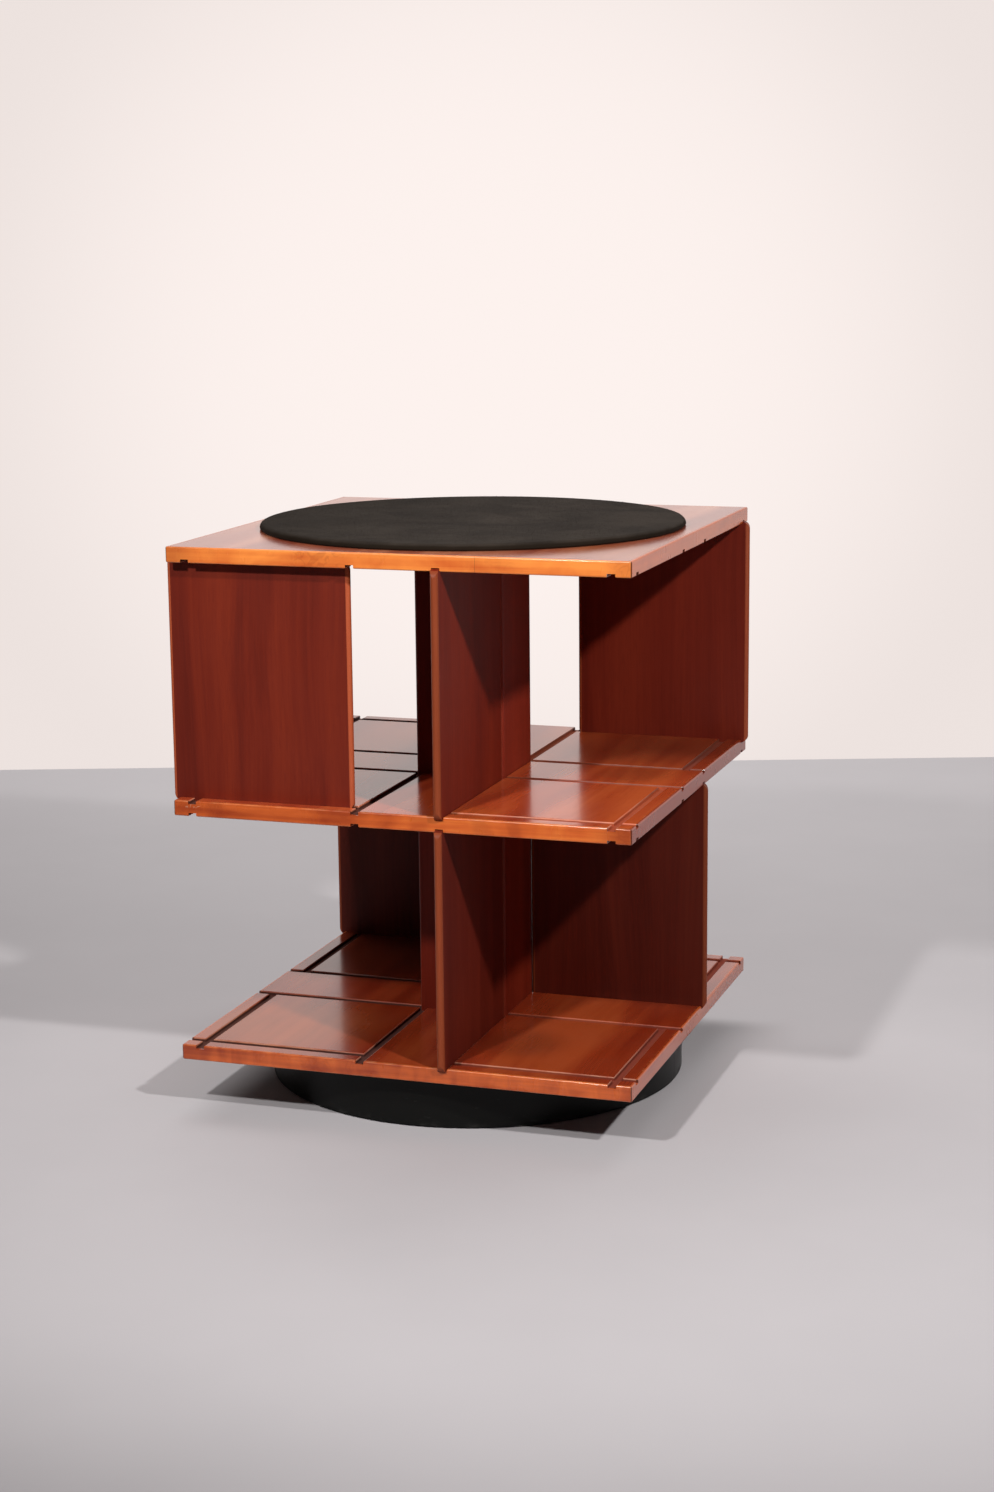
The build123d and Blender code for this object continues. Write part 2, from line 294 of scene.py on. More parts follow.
woodFigure = woodFigureGroup()
flameFigure = flameFigureGroup()
lacquerFilm = lacquerFilmGroup()
edgeWear = edgeWearGroup()
settledDust = settledDustGroup()
print("shared effects:", len(bpy.data.node_groups), "groups")


def dustOn(tree, where, amount):
    inputs = {"Place": where["Object"], "Facing": where["Normal"], "Amount": amount}
    return useGroup(tree, settledDust, inputs)["Dust"]


def wearOn(tree, place, node, reach):
    low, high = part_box(node)
    return useGroup(tree, edgeWear, {"Place": place, "Low": low, "High": high, "Reach": reach})["Wear"]


grainTurn = {"X": (0.0, -math.pi / 2, 0.0), "Y": (math.pi / 2, 0.0, 0.0), "Z": (0.0, 0.0, math.pi / 4)}


def alongGrain(tree, place, way):        # the figure groups run the grain along Z
    return putNode(tree, "ShaderNodeMapping", {"Vector": place, "Rotation": grainTurn[way]}).outputs[0]


# Veneered boards and upright panels

woodwork = {        # what boards and panels share
    "tones": ("dark", "middle", "light"), "stops": (0.12, 0.50, 0.88),
    "wearReach": 0.004, "wearRough": 0.12, "ripple": 0.35, "bumpReach": 0.0006, "dullShare": 0.5,
    "patches": {}, "paintedRearShade": {}, "duller": (),
}
veneer = {
    **woodwork, "grain": "Y", "seed": 1.3, "seedStep": 1.0,
    "dark": (0.205, 0.0195, 0.0048), "middle": (0.300, 0.0390, 0.0095), "light": (0.395, 0.0680, 0.0170),
    "worn": (0.50, 0.15, 0.045), "wearShare": 0.4, "pale": (0.75, 0.24, 0.02), "pores": 0.10,
    "gain": {        # no two boards match in tone
        "top_board": (1.60, 3.10, 6.20), "middle_board": (1.68, 1.80, 1.75),
        "bottom_board": (1.06, 1.02, 1.0)},
    "drift": 0.60, "driftSize": 0.20,
    "figure": {"Band width": 0.055, "Line width": 0.016, "Fibre width": 0.0032,
               "Run": 9.0, "Wander": 0.045, "Calm": 0.65},
    "film": {"Gloss": 0.20, "Spread": 0.08}, "shine": 0.5, "coat": 0.40, "coatGloss": 0.12, "bump": 0.02,
    "groove": (0.045, 0.012, 0.007), "grooveRough": 0.6, "grooveFade": (0.0008, 0.0001),
    "grooveShare": (0.92, 0.35), "grooveTurn": (-0.05, 0.10),        # left, right
    "arris": 0.0012, "arrisFade": (0.0003, 0.0001), "arrisRough": 0.30, "arrisGlintWorn": (0.66, 0.36, 0.24),
    "arrisGlintShare": (0.50, 0.12), "arrisTurn": (-0.22, -0.08),        # front, rear; the pale arris is painted highlight and wear
    "arrisDark": {"middle_board": 0.65},        # its rear grooves keep dark arrises
    "chafedGlint": ((35.0, 3.0, 0.6), (0.30, 0.60, 0.3, 1.0)),
    "paintedRearShade": {"middle_board": 0.42}, "rearReach": (-0.06, 0.16),
    "stain": (0.012, 0.008, 0.006), "stainTurn": (-0.9, -0.5, 0.8, 0.0),
    "dust": 0.03, "dustTone": (0.42, 0.38, 0.34), "dustRough": 0.5,
    "patchCore": 0.3,
    "patches": {        # painted light and shade, pale where light and reflection are painted, dark where shade is painted: x, y, radius, tone, share
        "top_board": ((0.268, -0.216, 0.10, "pale", 0.22), (0.301, 0.091, 0.10, "groove", 0.14)),
        "middle_board": ((0.08, -0.274, 0.06, "pale", 0.14), (0.212, 0.008, 0.07, "groove", 0.30),
                         (0.195, 0.174, 0.13, "groove", 0.32)),
        "bottom_board": ((0.116, -0.171, 0.080, "groove", 0.34), (-0.204, -0.188, 0.17, "pale", 0.17),
                         (-0.19, 0.17, 0.19, "groove", 0.62))},
}
panel = {
    **woodwork, "grain": "Z", "seed": 11.7, "seedStep": 0.83,
    "dark": (0.124, 0.0096, 0.0034), "middle": (0.168, 0.0150, 0.0056), "light": (0.210, 0.0222, 0.0078),
    "worn": (0.40, 0.10, 0.032), "wearShare": 0.08, "pores": 0.35, "dust": 0.0,
    # painted light and shade in part: the core's right panel is brightened and the lower tier's panels
    # darkened for how light falls on them
    "gain": {
        "upper_divider_front_left": (0.87, 0.77, 0.54), "upper_divider_front_arm": (0.96, 0.82, 0.60),
        "upper_core_right": (1.46, 1.55, 1.55), "lower_divider_front_arm": (0.64, 0.70, 0.85),
        "lower_divider_right_arm": (0.54, 0.68, 0.85), "lower_divider_rear_left": (0.58, 0.75, 0.90)},
    "drift": 0.30, "driftSize": 0.25,
    "figure": {"Band width": 0.060, "Line width": 0.022, "Fibre width": 0.0045,
               "Run": 18.0, "Wander": 0.040, "Calm": 0.0},
    "film": {"Gloss": 0.46, "Spread": 0.14}, "shine": 0.30, "coat": 0.0, "bump": 0.04,
    "duller": ("upper_divider_front_arm",),        # with all panels of the lower tier
    "edge": (0.29, 0.060, 0.021), "edgeDark": (0.21, 0.037, 0.012), "edgeBand": (0.0044, 0.0052),
    # painted light and shade: end strips brightened where they catch light, darkened where shaded
    "edgeLightGain": {
        "upper_divider_front_left": 1.7, "upper_divider_rear_right": 1.3, "lower_divider_right_arm": 0.75},
}


def endStrips(tree, place, node, wood, fibre, colour):        # a solid strip closes each end of a divider
    low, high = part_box(node)
    run = 0 if high.x - low.x > high.y - low.y else 1
    spot = axes(tree, place)[run]
    outer = calc(tree, "SUBTRACT", high[run], spot)
    inner = calc(tree, "SUBTRACT", spot, low[run])
    strip = step(tree, calc(tree, "MINIMUM", outer, inner), *wood["edgeBand"], 1.0, 0.0)
    # painted light and shade: this divider's end strips are brightened or darkened
    gain = wood["edgeLightGain"].get(node, 1.0)
    deep, pale = [[gain * part for part in wood[tone]] for tone in ("edgeDark", "edge")]
    return tint(tree, strip, colour, tint(tree, fibre, deep, pale))


def bareGrooves(tree, shader, place, node, wood, colour, rough):        # dark and dull, with pale arrises that are partly rubbed and partly painted highlight
    low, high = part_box(node)
    half = (high.z - low.z) / 2
    across, depth, level = axes(tree, place)
    rise = away(tree, level, (low.z + high.z) / 2)
    brink = half - wood["arris"]
    groove = step(tree, rise, *[brink - fade for fade in wood["grooveFade"]], 1.0, 0.0)
    brim = step(tree, rise, *[half - fade for fade in wood["arrisFade"]], 1.0, 0.0)
    brim = calc(tree, "SUBTRACT", brim, groove)
    # painted highlight and wear: pale arrises, strongest on the front-facing ones that catch the lamps
    rubbed = calc(tree, "MULTIPLY", brim, step(tree, depth, *wood["arrisTurn"], *wood["arrisGlintShare"]))
    chafedGlint = calc(tree, "MULTIPLY", rubbed, blots(tree, place, *wood["chafedGlint"]))
    colour = tint(tree, chafedGlint, colour, wood["arrisGlintWorn"])
    unworn = step(tree, depth, *wood["arrisTurn"], 0.0, wood["arrisDark"].get(node, 0.0))
    colour = tint(tree, calc(tree, "MULTIPLY", brim, unworn), colour, wood["groove"])
    grime = step(tree, across, *wood["grooveTurn"], *wood["grooveShare"])
    colour = tint(tree, calc(tree, "MULTIPLY", groove, grime), colour, wood["groove"])
    rough = calc(tree, "MULTIPLY_ADD", groove, wood["grooveRough"], rough)
    rough = calc(tree, "MULTIPLY_ADD", brim, wood["arrisRough"], rough, clamp=True)
    covered = calc(tree, "SUBTRACT", 1.0, calc(tree, "ADD", groove, brim), clamp=True)
    feed(tree, shader.inputs["Coat Weight"], calc(tree, "MULTIPLY", covered, wood["coat"]))
    setPlain(shader, {"Coat Roughness": wood["coatGloss"]})
    return colour, rough


def veneerFinish(node, wood, seed):
    material, tree, shader, where = newMaterial("wood_" + node)
    place = where["Object"]
    turned = alongGrain(tree, place, wood["grain"])
    figure = useGroup(tree, woodFigure, {"Place": turned, "Seed": seed, **wood["figure"]})
    film = useGroup(tree, lacquerFilm, {"Place": place, **wood["film"]})
    wear = wearOn(tree, place, node, wood["wearReach"])
    gain = wood["gain"].get(node, (1.0, 1.0, 1.0))
    colours = [[share * part for share, part in zip(gain, wood[tone])] for tone in wood["tones"]]
    drift = calc(tree, "SUBTRACT", cloud(tree, place, 1.0 / wood["driftSize"])[0], 0.5)
    tone = calc(tree, "MULTIPLY_ADD", drift, wood["drift"], figure["Tone"])
    colour = toneRamp(tree, tone, wood["stops"], colours)
    colour = tint(tree, calc(tree, "MULTIPLY", figure["Pores"], wood["pores"]), colour, wood["dark"])
    flat = calcVector(tree, "MULTIPLY", place, (1.0, 1.0, 0.0))
    # painted light and shade: pale patches paint light and reflection, dark patches paint shade
    for x, y, radius, shade, share in wood["patches"].get(node, ()):
        gap = calcVector(tree, "DISTANCE", flat, (x, y, 0.0))
        paintedLightShade = step(tree, gap, wood["patchCore"] * radius, radius, share, 0.0)
        colour = tint(tree, paintedLightShade, colour, wood[shade])
    rough = calc(tree, "MULTIPLY_ADD", wear, wood["wearRough"], film["Roughness"])
    if "_divider_" in node:
        colour = endStrips(tree, place, node, wood, figure["Fibre"], colour)
    colour = tint(tree, calc(tree, "MULTIPLY", wear, wood["wearShare"]), colour, wood["worn"])
    if wood["coat"]:
        colour, rough = bareGrooves(tree, shader, place, node, wood, colour, rough)
    if node in wood["paintedRearShade"]:        # painted shade: darker towards the rear, where the top board shades it
        rear = step(tree, axes(tree, place)[1], *wood["rearReach"], 0.0, wood["paintedRearShade"][node])
        colour = tint(tree, rear, colour, wood["groove"])
    if node == "bottom_board":        # its underside is stained dark
        under = step(tree, axes(tree, where["Normal"])[2], *wood["stainTurn"])
        colour = tint(tree, under, colour, wood["stain"])
    if wood["dust"]:
        dust = dustOn(tree, where, wood["dust"])
        colour = tint(tree, dust, colour, wood["dustTone"])
        rough = calc(tree, "MULTIPLY_ADD", dust, wood["dustRough"], rough)
    height = calc(tree, "MULTIPLY_ADD", film["Ripple"], wood["ripple"], figure["Height"])
    setShader(tree, shader, wood, colour, rough, height)
    dull = wood["dullShare"] if node.startswith("lower_") or node in wood["duller"] else 1.0
    setPlain(shader, {"Specular IOR Level": dull * wood["shine"]})
    return material


sides = ("front", "right", "rear", "left")
boardNodes = ["top_board", "middle_board", "bottom_board"]
panelNodes = sorted(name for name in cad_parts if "_divider_" in name or "_core_" in name)
for names, wood in ((boardNodes, veneer), (panelNodes, panel)):
    for count, name in enumerate(names):
        dress([name], veneerFinish(name, wood, wood["seed"] + wood["seedStep"] * count))
print("veneer:", len(boardNodes), "boards and", len(panelNodes), "upright panels")


# Solid lippings round the boards

lipping = {
    "seed": 0.2, "seedStep": 0.41,
    "dark": (0.30, 0.0340, 0.0058), "middle": (0.62, 0.116, 0.0200), "light": (0.92, 0.278, 0.0520),
    "tones": ("dark", "middle", "light"), "stops": (0.15, 0.48, 0.85),
    "lift": {"top": 0.38, "middle": 0.02, "bottom": 0.02},        # the three boards' strips differ in tone
    "sideLift": {"top": -0.30, "middle": -0.30, "bottom": -0.03},
    "slope": {"top_lipping_front": 0.03, "middle_lipping_front": 0.19, "bottom_lipping_front": 0.06},
    "figureShare": 0.35, "sideFigure": 0.35,        # the side strips are plainer
    "ripple": {"top": 0.12, "middle": 0.05, "bottom": 0.35},
    "flame": {"Blotch": 0.070, "Curl": 0.016},
    "figure": {"Band width": 0.012, "Line width": 0.006, "Fibre width": 0.0018,
               "Run": 22.0, "Wander": 0.012, "Calm": 0.3},
    "film": {"Gloss": 0.28, "Spread": 0.12}, "filmRipple": 0.3, "bump": 0.05, "bumpReach": 0.0006,
    "swirl": (0.26, 0.030, 0.007), "swirlShare": 0.3,
    "burl": ((48.0, 2.0, 0.5, 1.6), (0.015, 0.075, 1.0, 0.0)),
    "stainCore": 0.35,
    "stains": {        # redder stretches: place, half length, share of red, share of burl lines
        "top_lipping_front": (
            (-0.312, 0.062, 0.46, 0.0), (-0.098, 0.048, 0.12, 0.20), (0.125, 0.045, 0.12, 0.06),
            (0.312, 0.055, 0.32, 0.10)),
        "middle_lipping_front": (
            (-0.312, 0.060, 0.22, 0.10), (-0.243, 0.016, 0.34, 0.10), (-0.075, 0.020, 0.30, 0.10),
            (0.030, 0.018, 0.25, 0.0), (0.316, 0.070, 0.66, 0.10)),
        "bottom_lipping_front": (
            (-0.312, 0.060, 0.34, 0.10), (-0.095, 0.060, 0.14, 0.20), (0.030, 0.020, 0.20, 0.0),
            (0.312, 0.050, 0.22, 0.10)),
    },
    "worn": (0.92, 0.42, 0.16), "wear": 0.30, "sideWear": 0.05, "wearReach": 0.0022, "wearRough": 0.1,
    "scratch": (0.80, 0.50, 0.33), "scratchPlace": (-0.274, 0.012, 0.5),        # place, reach, core
    "scratchLines": ((110.0, 1.0), (0.006, 0.016, 0.8, 0.0)), "scratchRise": 0.004,
    "seam": (0.055, 0.010, 0.004), "joint": (0.1055, 0.0005, 0.4, 0.45),        # place, width, core, share
    "mitreWidth": 0.0018, "mitreCore": 0.45, "mitreShare": 0.85, "mitreTurn": (0.5, 0.9, 1.0, 0.3),
    "notchShade": (0.060, 0.012, 0.005), "notchTurn": (0.6, 0.9, 0.0, 0.9),
    "coat": 0.3, "sideCoat": {"top": 0.25, "middle": 0.30, "bottom": 0.45},
    "plain": {"Specular IOR Level": 0.4, "Coat Roughness": 0.12},
}


def lippingFinish(node, seed):
    material, tree, shader, where = newMaterial("wood_" + node)
    place = where["Object"]
    facing = [calc(tree, "ABSOLUTE", axis) for axis in axes(tree, where["Normal"])]
    low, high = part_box(node)
    stack = node.split("_")[0]
    front = node.endswith("front")
    figured = 1.0 if front else lipping["sideFigure"]
    grain = "X" if node.endswith(("front", "rear")) else "Y"
    turned = alongGrain(tree, place, grain)
    ripple = lipping["ripple"][stack] * figured
    flame = useGroup(tree, flameFigure, {"Place": turned, "Ripple": ripple, "Seed": seed, **lipping["flame"]})
    fine = useGroup(tree, woodFigure, {"Place": turned, "Seed": seed, **lipping["figure"]})
    film = useGroup(tree, lacquerFilm, {"Place": place, **lipping["film"]})
    wear = wearOn(tree, place, node, lipping["wearReach"])
    tone = calc(tree, "ADD", fine["Tone"], flame["Tone"])
    tone = calc(tree, "MULTIPLY", tone, lipping["figureShare"] * figured)
    lift = lipping["lift"][stack] + lipping["figureShare"] * (1.0 - figured)
    if not front:
        lift += lipping["sideLift"][stack]
    tone = calc(tree, "ADD", tone, lift)
    run = axes(tree, place)[0]
    tone = calc(tree, "MULTIPLY_ADD", run, lipping["slope"].get(node, 0.0) / high.x, tone)
    colour = toneRamp(tree, tone, lipping["stops"], [lipping[key] for key in lipping["tones"]])
    swirl = calc(tree, "MULTIPLY", flame["Swirl"], lipping["swirlShare"] * figured)
    colour = tint(tree, swirl, colour, lipping["swirl"])
    burl = veins(tree, place, *lipping["burl"])
    for spot, reach, red, lines in lipping["stains"].get(node, ()):
        share = calc(tree, "MULTIPLY_ADD", burl, lines, red)
        stain = calc(tree, "MULTIPLY", near(tree, run, spot, reach, lipping["stainCore"]), share)
        colour = tint(tree, stain, colour, lipping["swirl"])
    rub = calc(tree, "MULTIPLY", wear, lipping["wear" if front else "sideWear"])
    colour = tint(tree, rub, colour, lipping["worn"])
    if node == "middle_lipping_front":        # pale scratches round its left notch
        scratch = veins(tree, place, *lipping["scratchLines"])
        scratch = calc(tree, "MULTIPLY", scratch, near(tree, run, *lipping["scratchPlace"]))
        middle = (low.z + high.z) / 2
        upper = step(tree, axes(tree, place)[2], middle, middle + lipping["scratchRise"])
        colour = tint(tree, calc(tree, "MULTIPLY", scratch, upper), colour, lipping["scratch"])
    x, y = [calc(tree, "ABSOLUTE", axis) for axis in axes(tree, place)[:2]]
    mitre = away(tree, x, y)        # the dark line where two strips meet
    upright = step(tree, facing[2], *lipping["mitreTurn"])
    width = calc(tree, "MULTIPLY", upright, lipping["mitreWidth"])        # it gapes at the outer corners
    core = calc(tree, "MULTIPLY", width, lipping["mitreCore"])
    seam = step(tree, mitre, core, width, lipping["mitreShare"], 0.0)
    if node == "top_lipping_front":        # this strip is pieced from two lengths
        seam = calc(tree, "MAXIMUM", seam, near(tree, run, *lipping["joint"]))
    colour = tint(tree, seam, colour, lipping["seam"])
    cheek = facing[0 if grain == "X" else 1]
    notchShade = step(tree, cheek, *lipping["notchTurn"])        # painted shade: the notches of the grooves are dark inside
    colour = tint(tree, notchShade, colour, lipping["notchShade"])
    height = calc(tree, "SUBTRACT", fine["Height"], seam)
    height = calc(tree, "MULTIPLY_ADD", film["Ripple"], lipping["filmRipple"], height)
    rough = calc(tree, "MULTIPLY_ADD", wear, lipping["wearRough"], film["Roughness"])
    setShader(tree, shader, lipping, colour, rough, height)
    setPlain(shader, {"Coat Weight": lipping["coat"] if front else lipping["sideCoat"][stack]})
    return material


lippingNodes = [board.replace("board", "lipping_" + side) for board in boardNodes for side in sides]
for count, name in enumerate(lippingNodes):
    dress([name], lippingFinish(name, lipping["seed"] + lipping["seedStep"] * count))
print("lippings:", len(lippingNodes), "strips")


# Felt mat on the top board: a soft disc with its nap

mat = {
    "slot": "felt", "body": "carousel", "replaces": "top_mat",
    "turns": 320, "rings": 34, "roll": 0.0065, "rollSteps": 8, "tuck": 0.3,        # tuck: share of the roll
    "wobble": 0.0002, "dent": 0.0007, "dentSize": 0.11, "ragged": 0.0008, "raggedSize": 0.013,
    "spread": 0.002, "loft": 0.0013, "laidOff": (-0.0013, 0.0085),        # it has spread and lies off centre
    "base": (0.0190, 0.0141, 0.0110), "worn": (0.0405, 0.0307, 0.0241), "wornBand": (0.32, 0.68),
    "lint": (0.07, 0.06, 0.05), "dust": 0.16, "rim": (0.0120, 0.0082, 0.0050),
    "paintedLeftShade": (-0.30, 0.02, 0.55, 0.0), "cut": (0.35, 0.85, 0.85, 0.0),
    "mottleSize": 0.085, "mottle": (4.0, 0.62, 0.4), "mottleShare": 0.75,
    "fibre": (650.0, 3.0, 0.7, 1.2), "fibreShare": 0.25, "matted": (160.0, 3.0, 0.6, 0.8), "mattedDepth": 0.8,
    "rough": (0.2, 0.8, 0.82, 0.98), "bump": 0.55, "bumpReach": 0.0008,
    "plain": {"Specular IOR Level": 0.05, "Sheen Weight": 0.015, "Sheen Roughness": 0.45},
    "nap": {"Length": 0.0013, "Width": 0.00015, "Density": 52000.0, "Seed": 7},
    "napUp": 0.15, "napSides": 3, "napSteps": 2, "napTilt": 1.45, "napScale": (0.5, 1.0),
}


def feltFinish():
    material, tree, shader, where = newMaterial("felt_mat")
    place = where["Object"]
    mottle = cloud(tree, place, 1.0 / mat["mottleSize"], *mat["mottle"])[0]
    fibre = cloud(tree, place, *mat["fibre"])[0]
    matted = cloud(tree, place, *mat["matted"])[0]
    share = calc(tree, "MULTIPLY", mottle, mat["mottleShare"])
    share = calc(tree, "MULTIPLY_ADD", fibre, mat["fibreShare"], share)
    colour = tint(tree, step(tree, share, *mat["wornBand"]), mat["base"], mat["worn"])
    colour = tint(tree, dustOn(tree, where, mat["dust"]), colour, mat["lint"])
    paintedLeftShade = step(tree, axes(tree, place)[0], *mat["paintedLeftShade"])        # painted shade: the left of the mat is darker, where less light falls
    colour = tint(tree, paintedLeftShade, colour, mat["rim"])
    cut = step(tree, axes(tree, where["Normal"])[2], *mat["cut"])        # the cut edge is browner
    colour = tint(tree, cut, colour, mat["rim"])
    height = calc(tree, "MULTIPLY_ADD", matted, mat["mattedDepth"], fibre)
    setShader(tree, shader, mat, colour, step(tree, matted, *mat["rough"]), height)
    return material


def matMesh():
    low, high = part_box(mat["replaces"])
    high.z += mat["loft"]
    radius = (high.x - low.x) / 2 + mat["spread"]
    middle = (low + high) / 2
    roll = mat["roll"]
    tuck = mat["tuck"] * roll
    outline = [(radius * (i / mat["rings"]), low.z) for i in range(1, mat["rings"])]        # underside
    outline += [(radius - tuck, low.z), (radius, low.z + tuck)]
    for i in range(mat["rollSteps"] + 1):        # the soft upper arris
        turn = math.pi / 2 * i / mat["rollSteps"]
        outline.append((radius - roll + roll * math.cos(turn), high.z - roll + roll * math.sin(turn)))
    outline += [((radius - roll) * (1 - i / mat["rings"]), high.z) for i in range(1, mat["rings"])]
    mesh = bmesh.new()
    loops = []
    for out, level in outline:
        loop = []
        for i in range(mat["turns"]):
            turn = 2 * math.pi * i / mat["turns"]
            spot = Vector((out * math.cos(turn), out * math.sin(turn), level))
            soft = noise.noise(spot / mat["dentSize"]) * 0.5 + 0.5
            if level > middle.z:
                spot.z -= mat["dent"] * soft * (level - middle.z) / (high.z - middle.z)
            rim = max(0.0, 1.0 - (radius - out) / roll)
            pull = mat["wobble"] * soft * out / radius        # the cut edge isn't a perfect circle
            pull += mat["ragged"] * rim * noise.noise(spot / mat["raggedSize"])
            spot.x -= pull * math.cos(turn)
            spot.y -= pull * math.sin(turn)
            loop.append(mesh.verts.new(spot + Vector((*mat["laidOff"], 0.0))))
        loops.append(loop)
    for inner, outer in zip(loops, loops[1:]):
        for i in range(mat["turns"]):
            j = (i + 1) % mat["turns"]
            mesh.faces.new((inner[i], inner[j], outer[j], outer[i]))
    for loop, level in ((loops[0], low.z), (loops[-1], high.z - mat["dent"] * 0.5)):
        hub = mesh.verts.new((*mat["laidOff"], level))
        for i in range(mat["turns"]):
            mesh.faces.new((loop[i], loop[(i + 1) % mat["turns"]], hub))
    bmesh.ops.recalc_face_normals(mesh, faces=mesh.faces)
    data = bpy.data.meshes.new("felt_mat")
    mesh.to_mesh(data)
    mesh.free()
    data.shade_smooth()
    return data


def napTree():        # short fibres on the upper faces of a mesh
    tree = bpy.data.node_groups.new("feltNap", "GeometryNodeTree")
    sockets = (("Geometry", "Geometry"), ("Length", "Float"), ("Width", "Float"), ("Density", "Float"),
               ("Seed", "Int"), ("Finish", "Material"))
    for label, kind in sockets:
        tree.interface.new_socket(name=label, in_out="INPUT", socket_type="NodeSocket" + kind)
    tree.interface.new_socket(name="Geometry", in_out="OUTPUT", socket_type="NodeSocketGeometry")
    given = tree.nodes.new("NodeGroupInput").outputs
    made = tree.nodes.new("NodeGroupOutput").inputs
    normal = tree.nodes.new("GeometryNodeInputNormal").outputs[0]
    facing = {"A": axes(tree, normal)[2], "B": mat["napUp"]}
    upper = putNode(tree, "FunctionNodeCompare", facing, operation="GREATER_THAN")
    points = putNode(tree, "GeometryNodeDistributePointsOnFaces", {
        "Mesh": given["Geometry"], "Selection": upper.outputs[0],
        "Density": given["Density"], "Seed": given["Seed"]})
    fibre = putNode(tree, "GeometryNodeMeshCone", {
        "Vertices": mat["napSides"], "Side Segments": mat["napSteps"],
        "Radius Top": 0.0, "Radius Bottom": given["Width"], "Depth": given["Length"]})
    rise = axes(tree, tree.nodes.new("GeometryNodeInputPosition").outputs[0])[2]
    lean = calc(tree, "DIVIDE", calc(tree, "MULTIPLY", rise, rise), given["Length"])
    bend = joined(tree, lean)
    curved = putNode(tree, "GeometryNodeSetPosition", {"Geometry": fibre.outputs["Mesh"], "Offset": bend})
    tilt = putNode(tree, "FunctionNodeRandomValue", {
        0: (-mat["napTilt"], -mat["napTilt"], 0.0), 1: (mat["napTilt"], mat["napTilt"], 2 * math.pi),
        "Seed": given["Seed"]}, data_type="FLOAT_VECTOR")
    lay = putNode(tree, "FunctionNodeEulerToRotation", {0: tilt.outputs[0]})
    turned = putNode(tree, "FunctionNodeRotateRotation", {
        0: points.outputs["Rotation"], 1: lay.outputs[0]}, rotation_space="LOCAL")
    least, most = mat["napScale"]
    size = putNode(tree, "FunctionNodeRandomValue", {
        2: least, 3: most, "Seed": given["Seed"]}, data_type="FLOAT")
    planted = putNode(tree, "GeometryNodeInstanceOnPoints", {
        "Points": points.outputs["Points"], "Instance": curved.outputs[0],
        "Rotation": turned.outputs[0], "Scale": size.outputs[1]})
    real = putNode(tree, "GeometryNodeRealizeInstances", {0: planted.outputs[0]})
    finished = putNode(tree, "GeometryNodeSetMaterial", {
        "Geometry": real.outputs[0], "Material": given["Finish"]})
    feed(tree, made[0], finished.outputs[0])
    return tree


def growNap(ground, tree, values, name):        # runs the tree on a copy and keeps a plain mesh
    piece = bpy.data.objects.new(name, ground.copy())
    bpy.context.scene.collection.objects.link(piece)
    grow = piece.modifiers.new("nap", "NODES")
    grow.node_group = tree
    for item in tree.interface.items_tree:
        if item.in_out == "INPUT" and item.name in values:
            grow[item.identifier] = values[item.name]
    view = bpy.context.evaluated_depsgraph_get()
    plain = bpy.data.meshes.new_from_object(piece.evaluated_get(view))
    piece.modifiers.clear()
    piece.data = plain
    return piece


feltMaterial = feltFinish()
feltMat = bpy.data.objects.new("felt_mat", matMesh())
feltMat.data.materials.append(feltMaterial)
bpy.context.scene.collection.objects.link(feltMat)
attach(feltMat, mat["body"])
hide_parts(mat["replaces"])
matNap = growNap(feltMat.data, napTree(), {**mat["nap"], "Finish": feltMaterial}, "felt_nap")
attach(matNap, mat["body"])
print("mat:", len(feltMat.data.polygons), "faces, nap", len(matNap.data.polygons), "faces")


# Plinth, glides and swivel

plinth = {
    "base": (0.0050, 0.0050, 0.0044), "rubbed": (0.035, 0.033, 0.030), "rubShare": 0.6, "rubRough": 0.2,
    "foot": 0.012, "brim": 0.003, "broken": ((45.0, 4.0, 0.65), (0.48, 0.72)),
    "scuff": (0.16, 0.15, 0.14), "scuffShare": 0.10, "scuffGrid": (60.0, 60.0, 320.0),
    "scuffs": ((1.0, 2.0, 0.5, 0.4), (0.70, 0.76)),
    "dust": 0.10, "dustTone": (0.35, 0.33, 0.31),
    "film": {"Gloss": 0.36, "Spread": 0.16}, "bump": 0.08, "bumpReach": 0.0006,
    "plain": {"Specular IOR Level": 0.14},
}


def plinthFinish():        # rubbed at its foot and rim, with a few scuffs
    material, tree, shader, where = newMaterial("black_lacquer")
    place = where["Object"]
    low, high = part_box("plinth_wall")
    film = useGroup(tree, lacquerFilm, {"Place": place, **plinth["film"]})
    level = axes(tree, place)[2]
    foot = step(tree, level, low.z, low.z + plinth["foot"], 1.0, 0.0)
    rim = step(tree, level, high.z - plinth["brim"], high.z)
    broken = blots(tree, place, *plinth["broken"])
    rubbed = calc(tree, "MULTIPLY", calc(tree, "MAXIMUM", foot, rim), broken)
    scuff = blots(tree, calcVector(tree, "MULTIPLY", place, plinth["scuffGrid"]), *plinth["scuffs"])
    dust = dustOn(tree, where, plinth["dust"])
    colour = tint(tree, calc(tree, "MULTIPLY", rubbed, plinth["rubShare"]), plinth["base"], plinth["rubbed"])
    colour = tint(tree, calc(tree, "MULTIPLY", scuff, plinth["scuffShare"]), colour, plinth["scuff"])
    colour = tint(tree, dust, colour, plinth["dustTone"])
    rough = calc(tree, "MULTIPLY_ADD", rubbed, plinth["rubRough"], film["Roughness"])
    setShader(tree, shader, plinth, colour, rough, film["Ripple"])
    return material


